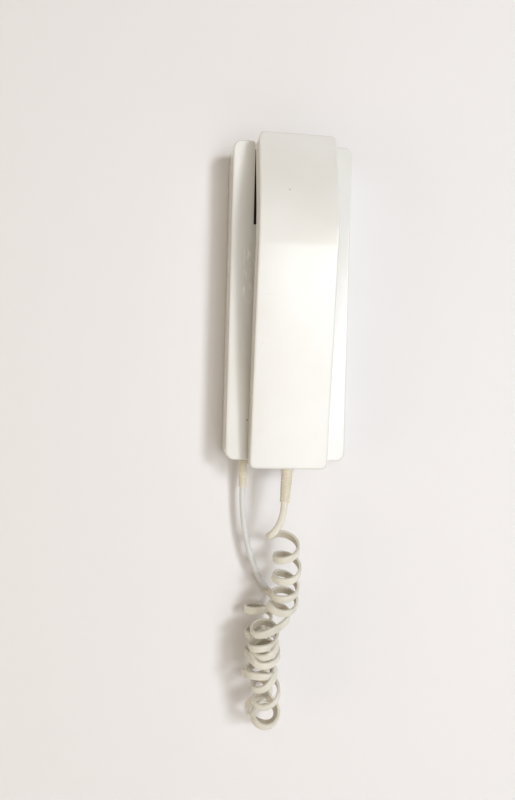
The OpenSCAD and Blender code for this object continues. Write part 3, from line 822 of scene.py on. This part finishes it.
@dataclass
class Handset(Assembly):
    """The arched handset: two straight stretches joined by a bend, in two shells."""

    thick: float = 15.8 * MM
    low_tilt: float = math.radians(7.0)
    up_tilt: float = math.radians(16.7)
    bend_drop: float = 51.7 * MM
    bend_r: float = 97 * MM
    bend_steps: int = 18
    end_out: float = 11.4 * MM
    gap: float = 1.2 * MM
    seam: float = 5 * MM
    wall: float = 2.2 * MM
    corner: float = 4 * MM
    edge: float = 1.2 * MM
    boot_depth: float = 35 * MM
    boot_r: float = 3.2 * MM
    boot_cut: tuple[float, float] = (-1 * MM, 3 * MM)
    tiny: float = 0.001 * MM

    def __post_init__(self) -> None:
        """Work out the side curves' shared sizes from the frame."""
        low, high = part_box("handset_front_shell")
        self.low, self.high = Vector(low), Vector(high)
        self.face = -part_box("front_casing")[0][1]
        vertex_z = self.high.z - self.bend_drop
        rise = math.tan(self.low_tilt) * (vertex_z - self.low.z)
        vertex = Vector((self.face + self.end_out + rise, vertex_z))
        tangent = self.bend_r * math.tan((self.low_tilt + self.up_tilt) / 2)
        along = Vector((math.sin(self.low_tilt), math.cos(self.low_tilt)))
        across = Vector((math.cos(self.low_tilt), -math.sin(self.low_tilt)))
        self.centre = vertex - tangent * along - self.bend_r * across

    def curve(self, radius: float, low: float, high: float, least: float = 0.0) -> Outline:
        """Return a side curve in depth and height.

        Args:
            radius: The radius of its bend.
            low: Its lowest height.
            high: Its highest height.
            least: The depth that it doesn't go below.

        Returns:
            Its points, from the lowest up.
        """
        arc = self.low_tilt + self.up_tilt
        turns = [-self.low_tilt + arc * i / self.bend_steps for i in range(self.bend_steps + 1)]
        bend = [(self.centre.x + radius * math.cos(a), self.centre.y + radius * math.sin(a)) for a in turns]
        lower = self._straight(bend[0], math.tan(self.low_tilt), low, least)
        upper = self._straight(bend[-1], -math.tan(self.up_tilt), high, least)
        return [*reversed(lower), *bend, *upper]

    @staticmethod
    def _straight(start: tuple[float, float], slope: float, end: float, least: float) -> Outline:
        """Return the points of a straight stretch that leaves the bend, level from the least depth on."""
        depth, z = start
        reach = depth + slope * (end - z)
        if reach < least:
            return [(least, z + (least - depth) / slope), (least, end)]
        return [(reach, end)]

    def shell(self, back: Outline, front: Outline, inset: float, front_radius: float) -> Solid:
        """Return a solid between two side curves, with its outline's corners and front edge rounded."""
        half = (self.high.x - self.low.x) / 2 - inset
        ends = front[0][1], front[-1][1]
        bm = prism(back + list(reversed(front)), seen_from_side, -half, half)

        def at_corner(a: Vector, b: Vector) -> bool:
            """Tell whether an edge runs straight out from the wall at the shell's top or foot."""
            straight_out = abs(a.x - b.x) < self.tiny and abs(a.z - b.z) < self.tiny
            return straight_out and any(abs(a.z - z) < self.tiny for z in ends)

        round_edges(bm, at_corner, max(self.corner - inset, 1 * MM), 8)
        if front_radius:
            self._round_front(bm, front, front_radius)
        return bm

    def _round_front(self, bm: Solid, front: Outline, radius: float) -> None:
        """Round the edge all round a shell's front."""
        bm.normal_update()
        heights = [z for _, z in front]

        def on_front(v: bmesh.types.BMVert) -> bool:
            """Tell whether a vertex lies on the front curve."""
            z = min(max(v.co.z, heights[0]), heights[-1])
            i = max(k for k in range(len(front) - 1) if front[k][1] <= z + 1e-9)
            (d0, z0), (d1, z1) = front[i], front[i + 1]
            return abs(-v.co.y - d0 - (d1 - d0) * (z - z0) / (z1 - z0)) < 0.01 * MM

        edges = [e for e in bm.edges if len(e.link_faces) == 2 and all(on_front(v) for v in e.verts)
                 and e.calc_face_angle() > math.radians(45)]
        bevel(bm, edges, radius, 6)

    def build(self) -> None:
        """Build the handset's two shells and its screws."""
        z0, z1 = self.low.z, self.high.z
        back_r, least = self.bend_r - self.thick, self.face + self.gap
        seam = [(d + self.seam, z) for d, z in self.curve(back_r, z0, z1, least)]
        bm = self.shell(seam, self.curve(self.bend_r, z0, z1), 0.0, self.edge)
        front = new_object("front_shell", bm, [self.paint.get("handset_cream")])
        inside = z0 + self.wall, z1 - self.wall
        inner_seam = [(d + self.seam - 1 * MM, z) for d, z in self.curve(back_r, *inside, least)]
        hollow = self.shell(inner_seam, self.curve(self.bend_r - self.wall, *inside), self.wall, 0.0)
        low, high = self.boot_cut
        boot_hole = prism(circle(0, self.boot_depth, self.boot_r), seen_from_below, z0 + low, z0 + high)
        carve(front, [(hollow, 0), (boot_hole, 0)])
        soften(front, 0.2 * MM, from_angle=50.0)
        finish_piece(front, Body.HANDSET, "handset_cream", "handset_front_shell")
        self.add_copies([(Body.HANDSET, "handset_rear_shell", "rear_shell", 0.25, "handset_cream"),
                         (Body.HANDSET, "handset_screws", "shell_screws", 0.12, "steel")])


# ---------------------------------------------------------------- the cord


def on_curve(a: Vector, b: Vector, c: Vector, d: Vector, t: float) -> tuple[Vector, Vector]:
    """Return the place and the direction at a share t of the way from b to c, on a curve through all."""
    bend, twist = 2 * a - 5 * b + 4 * c - d, 3 * b - a - 3 * c + d
    place = 0.5 * (2 * b + (c - a) * t + bend * t**2 + twist * t**3)
    return place, 0.5 * ((c - a) + 2 * bend * t + 3 * twist * t**2)


def smooth_line(points: Sequence[Point], step: float, ahead: Point | None = None) -> list[Vector]:
    """Return points about a step apart on a smooth curve through some points in millimetres.

    Args:
        points: What the curve passes through.
        step: The distance between two returned points, in metres.
        ahead: What the curve heads for at its end.

    Returns:
        The curve's points, in metres.
    """
    knots = [Vector(p) * MM for p in points]
    beyond = Vector(ahead) * MM if ahead else 2 * knots[-1] - knots[-2]
    knots = [2 * knots[0] - knots[1], *knots, beyond]
    line = []
    for a, b, c, d in zip(knots, knots[1:], knots[2:], knots[3:]):
        count = max(1, round((c - b).length / step))
        line += [on_curve(a, b, c, d, i / count)[0] for i in range(count)]
    return [*line, knots[-2]]


def line_length(line: Sequence[Vector]) -> float:
    """Return a line's length."""
    return sum((b - a).length for a, b in zip(line, line[1:]))


@dataclass
class Ring:
    """One cross-section of a cord: its middle, its two directions and its half sizes."""

    at: Vector
    out: Vector
    side: Vector
    half: tuple[float, float]
    square: float


def sweep(name: str, rings: Sequence[Ring], material: Material, sides: int = 18) -> Piece:
    """Skin a row of cross-sections.

    Args:
        name: The piece's name.
        rings: The cross-sections.
        material: The skin's finish.
        sides: The points of each.

    Returns:
        A closed tube with a UV map "along": round it in U, and along it in V, in centimetres.
    """
    bm = bmesh.new()
    uv = bm.loops.layers.uv.new("along")
    skins, run = [], [0.0]
    for ring in rings:
        power = 1.0 / (1.0 + ring.square)
        skin = []
        for k in range(sides):
            a = 2 * math.pi * k / sides
            c, s = math.cos(a), math.sin(a)
            u = math.copysign(abs(c) ** power, c) * ring.half[0]
            v = math.copysign(abs(s) ** power, s) * ring.half[1]
            skin.append(bm.verts.new(ring.at + u * ring.out + v * ring.side))
        skins.append(skin)
    for a, b in zip(rings, rings[1:]):
        run.append(run[-1] + (b.at - a.at).length * 100)
    for i, (a, b) in enumerate(zip(skins, skins[1:])):
        for k in range(sides):
            j = (k + 1) % sides
            face = bm.faces.new((a[k], a[j], b[j], b[k]))
            for loop, place in zip(face.loops, ((k, i), (k + 1, i), (k + 1, i + 1), (k, i + 1))):
                loop[uv].uv = (place[0] / sides, run[place[1]])
    close_end(bm, skins[0], rings[0], rings[1])
    close_end(bm, skins[-1], rings[-1], rings[-2])
    bmesh.ops.recalc_face_normals(bm, faces=bm.faces)
    piece = new_object(name, bm, [material])
    piece.data.shade_smooth()
    return piece


def close_end(bm: Solid, skin: list[bmesh.types.BMVert], ring: Ring, inner: Ring) -> None:
    """Close a tube's end with a low dome.

    Args:
        bm: The tube's mesh.
        skin: The points of its last cross-section.
        ring: That cross-section.
        inner: The one before it.
    """
    last, away = skin, (ring.at - inner.at).normalized()
    for share in (0.7, 0.3):
        reach = away * min(ring.half) * 0.5 * (1 - share)
        cap = [bm.verts.new(ring.at + (v.co - ring.at) * share + reach) for v in skin]
        for a, b, c, d in zip(last, [*last[1:], last[0]], [*cap[1:], cap[0]], cap):
            bm.faces.new((a, b, c, d))
        last = cap
    bm.faces.new(last)


@dataclass(frozen=True)
class Turn:
    """One turn of the coil: its middle where the cord passes its front or back, and how it hangs.

    The middle and the radius are in millimetres. The lean, in degrees, moves the turn's front
    along the coil's axis, and the roll moves its right side along it.
    """

    x: float
    depth: float
    z: float
    radius: float
    lean: float
    roll: float = 0.0


@dataclass
class CurlyCord:
    """The curly cord: down from the handset, round its lowest turns, and up to the base's lead."""

    paint: Paintbox
    width: float = 4.7 * MM
    thick: float = 2.1 * MM
    square: float = 1.6
    lead_d: float = 3.7 * MM
    tail_d: float = 4.0 * MM
    hand_lead_d: float = 4.4 * MM
    hand_ease: float = 9 * MM
    base_ease: float = 6 * MM
    steps_per_turn: int = 30
    first: float = 0.38
    cut: float = 12.5
    last: float = 17.95
    turns: tuple[Turn, ...] = (
        Turn(0.5, 33, -143.4, 7.6, 25), Turn(1.2, 33, -156.4, 7.6, 25),
        Turn(1.9, 33, -169.6, 8.2, 25), Turn(0.8, 33, -180.6, 7.8, 25),
        Turn(0.2, 33, -189.6, 7.8, 25, -8), Turn(-8, 33, -200.4, 10, 22, -46),
        Turn(-12.6, 33, -210.6, 8.4, 22, -6), Turn(-10.4, 33, -215.8, 8.2, 22, -4),
        Turn(-10.6, 33, -221.2, 8.6, 22, -14), Turn(-13.4, 33, -227.4, 8.8, 22, 10),
        Turn(-10.8, 33, -234.2, 8.2, 22, -14), Turn(-9.2, 33, -245.2, 8.2, 24),
        Turn(-8.6, 28.5, -259.5, 8, 0, 14), Turn(-9.6, 20, -262, 9, -25),
        Turn(-12.8, 13.5, -244, 8.6, 10, -5), Turn(-12.2, 12, -229, 8, 20),
        Turn(-12, 12, -216, 8, 22, 5), Turn(-12.2, 12, -201.6, 8.8, 14, 10),
        Turn(-10.3, 12, -187.5, 9.1, 12, -8))
    base_lead: tuple[Point, ...] = (
        (-25, -12, -116), (-25, -12, -124), (-24.6, -12, -132), (-23.8, -12, -140),
        (-22.6, -12, -148), (-21, -12, -155), (-19, -12, -162), (-16.4, -11.8, -169),
        (-12.4, -10.5, -177.9), (-9.8, -8.5, -181.7), (-7.6, -6, -185.4))
    hand_lead: tuple[Point, ...] = (
        (-1, -35, -123), (-1.1, -35, -125.3), (-1.6, -35, -131), (-3, -34.5, -137), (-5.4, -34, -142),
        (-8, -33.2, -145.4))
    hand_curl: tuple[Point, ...] = ((-9.5, -31.4, -147), (-8.7, -29, -147.8))
    base_tail: tuple[Point, ...] = ((-7.5, -5.9, -185.6),)

    def _at(self, turn: float) -> tuple[Vector, Vector, Point]:
        """Return the coil's middle, its way, and its radius, lean and roll at a number of turns."""
        i = min(int(turn), len(self.turns) - 2)
        rows = [(u.x, -u.depth, u.z, u.radius, u.lean, u.roll) for u in self.turns]
        before, after = ([2 * p - q for p, q in zip(*pair)] for pair in (rows[:2], rows[:-3:-1]))
        rows = [before, *rows, after]
        place, way = zip(*(on_curve(*column, turn - i) for column in zip(*rows[i:i + 4])))
        radius, lean, roll = place[3:]
        shape = radius * MM, math.radians(lean), math.radians(roll)
        return Vector(place[:3]) * MM, Vector(way[:3]).normalized(), shape

    def coil(self) -> tuple[list[Vector], list[Vector], int]:
        """Return the coil's line, its outward directions, and where its two pieces meet."""
        line, outs = [], []
        for step in range(round((self.last - self.first) * self.steps_per_turn) + 1):
            turn = self.first + step / self.steps_per_turn
            middle, way, (radius, lean, roll) = self._at(turn)
            right = (Vector((1, 0, 0)) - way * way.x).normalized()
            front = way.cross(right) * math.cos(lean) + way * math.sin(lean)
            right = right * math.cos(roll) + way * math.sin(roll)
            angle = 2 * math.pi * (turn + 0.25)
            out = right * math.cos(angle) + front * math.sin(angle)
            line.append(middle + out * radius)
            outs.append(out)
        return line, outs, round((self.cut - self.first) * self.steps_per_turn)

    def build(self) -> None:
        line, outs, cut = self.coil()
        hand, hand_path = self._side("handset_cord", (*self.hand_lead, *self.hand_curl), self.hand_lead_d,
                                     self.hand_ease, line[:cut + 1], outs[:cut + 1])
        base, base_path = self._side("base_curly_cord", self.base_tail, self.tail_d, self.base_ease,
                                     list(reversed(line[cut:])), list(reversed(outs[cut:])))
        lead, lead_path = self._lead()
        boots = self._boots()
        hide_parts("handset_lead", "handset_coil")
        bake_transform(hand)
        finish_piece(base, Body.BASE, "coil_beige", "base_coil")
        finish_piece(lead, Body.BASE, "lead_white", "base_lead")
        self._declare(hand, hand_path, self.width, boots[1])
        self._declare(base, base_path, self.width)
        self._declare(lead, lead_path, self.lead_d, boots[0])

    def _declare(self, piece: Piece, path: list[Vector], diameter: float,
                 *with_pieces: Piece) -> None:
        """Log the length of the path that a piece's tube follows."""
        length = line_length(path)
        LOG.info("%s: %.3f m long", piece.name, length)

    def _rings(self, line: Sequence[Vector], outs: Sequence[Vector | None], flat: Sequence[float],
               round_d: float) -> list[Ring]:
        """Return cross-sections along a line.

        Args:
            line: Their middles.
            outs: The outward direction of each, or None to carry the last one on.
            flat: 0 where the cord is round, and 1 where it is the coil's ribbon.
            round_d: The round cord's diameter.

        Returns:
            The cross-sections.
        """
        rings, out = [], Vector((1, 0, 0))
        for i, (at, wanted, share) in enumerate(zip(line, outs, flat)):
            way = (line[min(i + 1, len(line) - 1)] - line[max(i - 1, 0)]).normalized()
            wanted = wanted if wanted is not None else out
            out = (wanted - way * wanted.dot(way)).normalized()
            half = tuple((round_d * (1 - share) + size * share) / 2 for size in (self.thick, self.width))
            rings.append(Ring(at, out, way.cross(out), half, self.square * share))
        return rings

    def _joined(self, straight: list[Vector], coil: list[Vector], outs: list[Vector], round_d: float,
                ease: float) -> list[Ring]:
        """Return the cross-sections of a straight stretch that runs into a coil.

        Args:
            straight: The straight stretch's line.
            coil: The coil's line.
            outs: The coil's outward directions.
            round_d: The straight stretch's diameter.
            ease: The length over which the one turns into the other.

        Returns:
            All of the cross-sections.
        """
        total, seen, flat = line_length(straight), 0.0, []
        for a, b in zip(straight, [*straight[1:], straight[-1]]):
            flat.append(min(max((seen - (total - ease)) / ease, 0.0), 1.0))
            seen += (b - a).length
        right = Vector((1, 0, 0))
        turning = [right.lerp(outs[0], share).normalized() if share else None for share in flat]
        return self._rings(straight + coil, turning + outs, flat + [1.0] * len(coil), round_d)

    def _side(self, name: str, lead: Sequence[Point], lead_d: float, ease: float, coil: list[Vector],
              outs: list[Vector]) -> tuple[Piece, list[Vector]]:
        """Build one side of the curly cord, with the straight stretch that runs into it.

        Args:
            name: The piece's name.
            lead: The points of the straight stretch, in millimetres.
            lead_d: Its diameter.
            ease: The length over which it turns into the coil's ribbon.
            coil: The coil's line from there on.
            outs: The coil's outward directions.

        Returns:
            The piece and its line.
        """
        start, ahead = tuple(coil[0] / MM), tuple(coil[3] / MM)
        straight = smooth_line([*lead, start], 0.8 * MM, ahead)[:-1]
        rings = self._joined(straight, coil, outs, lead_d, ease)
        return sweep(name, rings, self.paint.get("coil_beige")), straight + coil

    def _lead(self) -> tuple[Piece, list[Vector]]:
        """Build the straight white lead at the base, and return it and its line."""
        line = smooth_line(self.base_lead, 1.2 * MM)
        rings = self._rings(line, [None] * len(line), [0.0] * len(line), self.lead_d)
        return sweep("base_white_lead", rings, self.paint.get("lead_white")), line

    def _boots(self) -> tuple[Piece, Piece]:
        """Build the ribbed boots under the base and under the handset."""
        base = Boot("base_cord_boot", self.paint, top=(-25 * MM, -12 * MM, -100 * MM), length=19 * MM,
                    tilt=0.0, radii=(3.4 * MM, 2.85 * MM), ribs=14)
        hand = Boot("handset_cord_boot", self.paint, top=(0.0, -35 * MM, -104.3 * MM), length=21 * MM,
                    tilt=3.0, radii=(3.9 * MM, 3.3 * MM), ribs=16)
        return base.build(Body.BASE, "base_boot"), hand.build(Body.HANDSET, "handset_boot")


# ---------------------------------------------------------------- the studio


COOL = (0.97, 1.0, 1.03)
WARM = (1.0, 0.83, 0.59)


class Pane(Enum):
    """The outlines of a lamp."""

    SQUARE = "RECTANGLE"
    ARCHED = "ELLIPSE"


@dataclass(frozen=True)
class Lamp:
    """One area lamp."""

    name: str
    at: Point
    towards: Point
    size: tuple[float, float]
    watts: float
    colour: Colour = COOL
    pane: Pane = Pane.SQUARE

    def hang(self) -> None:
        """Hang the lamp in the scene."""
        data = bpy.data.lights.new(self.name, "AREA")
        data.shape, data.size, data.size_y = self.pane.value, *self.size
        data.color = self.colour
        data.energy = self.watts
        lamp = bpy.data.objects.new(self.name, data)
        aim = (Vector(self.towards) - Vector(self.at)).to_track_quat("-Z", "Y")
        lamp.matrix_world = Matrix.Translation(self.at) @ aim.to_matrix().to_4x4()
        bpy.context.scene.collection.objects.link(lamp)


# A wide window low on the right, with an arched top, a key beside it, and two weak fills.
LAMPS = (
    Lamp("window", (0.5, -1.5, -0.36), (0.5, 0.0, -0.36), (0.62, 0.68), 6.0),
    Lamp("window_arch", (0.5, -1.499, -0.02), (0.5, 0.0, -0.02), (0.62, 0.24), 1.7, pane=Pane.ARCHED),
    Lamp("key", (0.62, -1.45, 0.2), (0, 0, 0), (0.28, 0.28), 9.2),
    Lamp("upper_front", (-0.1, -1.5, 0.5), (0, 0, 0), (0.5, 0.7), 2.3),
    Lamp("left_fill", (-1.4, -0.8, -0.35), (0, 0, -0.1), (0.8, 0.8), 4.4, WARM),
)


@dataclass
class Studio:
    """The pale wall and floor, the lamps and the camera."""

    camera_at: Point = (-0.0745, -0.4507, -0.063)
    yaw: float = math.radians(-7.51)
    pitch: float = math.radians(0.09)
    roll: float = math.radians(-1.53)
    lens: float = 30.6
    film: float = 36.0
    clip: float = 0.01
    wall_colour: Colour = (0.80, 0.795, 0.81)
    wall_y: float = 0.0003
    wall_half: float = 3.0
    wall_top: float = 2.4
    wall_gap: float = 0.004
    floor_colour: Colour = (0.80, 0.78, 0.77)
    floor_z: float = -0.9
    floor_front: float = -4.0
    fill_below: Colour = (1.0, 0.80, 0.55)
    fill_above: Colour = (0.60, 0.50, 0.38)
    fill: float = 0.33

    def build(self) -> None:
        """Build the wall, the floor, the lamps and the camera."""
        self._camera()
        self._wall()
        self._floor()
        for lamp in LAMPS:
            lamp.hang()
        self._world()
        bpy.context.scene.view_settings.view_transform = "Standard"

    def _camera(self) -> None:
        """Place the camera where the telephone is seen a little from the left."""
        data = bpy.data.cameras.new("camera")
        data.lens, data.sensor_width, data.sensor_fit = self.lens, self.film, "AUTO"
        data.clip_start = self.clip
        camera = bpy.data.objects.new("camera", data)
        turn = (Matrix.Rotation(self.yaw, 3, "Z") @ Matrix.Rotation(self.pitch, 3, "X")
                @ Matrix.Rotation(self.roll, 3, "Y"))
        right, ahead, up = turn.col[0], turn.col[1], turn.col[2]
        facing = Matrix((right, up, -ahead)).transposed().to_4x4()
        camera.matrix_world = Matrix.Translation(self.camera_at) @ facing
        bpy.context.scene.collection.objects.link(camera)
        bpy.context.scene.camera = camera

    def _sheet(self, name: str, panels: Iterable[Sequence[Point]], colour: Colour) -> None:
        """Build one staged sheet of flat panels, seen only from its front."""
        bm = bmesh.new()
        for corners in panels:
            bm.faces.new([bm.verts.new(c) for c in corners])
        g = Graph(name)
        g.set(Base_Color=colour, Roughness=0.85, Specular_IOR_Level=0.2)
        behind = g.node("ShaderNodeNewGeometry", output="Backfacing")
        painted = Value(g, g.surface.outputs[0])
        seen = g.node("ShaderNodeMixShader", behind, painted, g.node("ShaderNodeBsdfTransparent"))
        output = next(n for n in g.tree.nodes if n.type == "OUTPUT_MATERIAL")
        g.feed(output.inputs["Surface"], seen)
        new_object(name, bm, [g.material])

    def _wall(self) -> None:
        """Hang the pale wall round the base's back, which is left free to be seen from behind."""
        low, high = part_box("back_plate")
        x0, x1 = low[0] + self.wall_gap, high[0] - self.wall_gap
        z0, z1 = low[2] + self.wall_gap, high[2] - self.wall_gap
        side, foot, top, y = self.wall_half, self.floor_z, self.wall_top, self.wall_y
        spans = [(-side, x0, foot, top), (x1, side, foot, top), (x0, x1, foot, z0), (x0, x1, z1, top)]
        panels = [[(a, y, c), (b, y, c), (b, y, d), (a, y, d)] for a, b, c, d in spans]
        self._sheet("pale_wall", panels, self.wall_colour)

    def _floor(self) -> None:
        """Lay the pale floor far below."""
        side, front, back, z = self.wall_half, self.floor_front, self.wall_y, self.floor_z
        corners = [(-side, front, z), (side, front, z), (side, back, z), (-side, back, z)]
        self._sheet("pale_floor", [corners], self.floor_colour)

    def _world(self) -> None:
        """Fill the shadows with warm light that is dimmer from above."""
        world = bpy.data.worlds.new("warm_fill")
        bpy.context.scene.world = world
        world.use_nodes = True
        g = Nodes(world.node_tree)
        background = next(n for n in g.tree.nodes if n.type == "BACKGROUND")
        up = g.node("ShaderNodeSeparateXYZ", g.node("ShaderNodeTexCoord", output="Generated"), output="Z")
        height = g.node("ShaderNodeMapRange", Value=up, From_Min=0.1, From_Max=0.8)
        g.feed(background.inputs["Color"], g.blend(height, self.fill_below, self.fill_above))
        background.inputs["Strength"].default_value = self.fill


def main() -> None:
    """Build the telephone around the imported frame."""
    logging.basicConfig(level=logging.INFO, format="%(message)s")
    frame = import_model()
    paint = Paintbox()
    paint.dress_nodes(frame)
    Studio().build()
    CurlyCord(paint).build()
    Base(frame, paint).build()
    Handset(frame, paint).build()


if __name__ == "__main__":
    main()
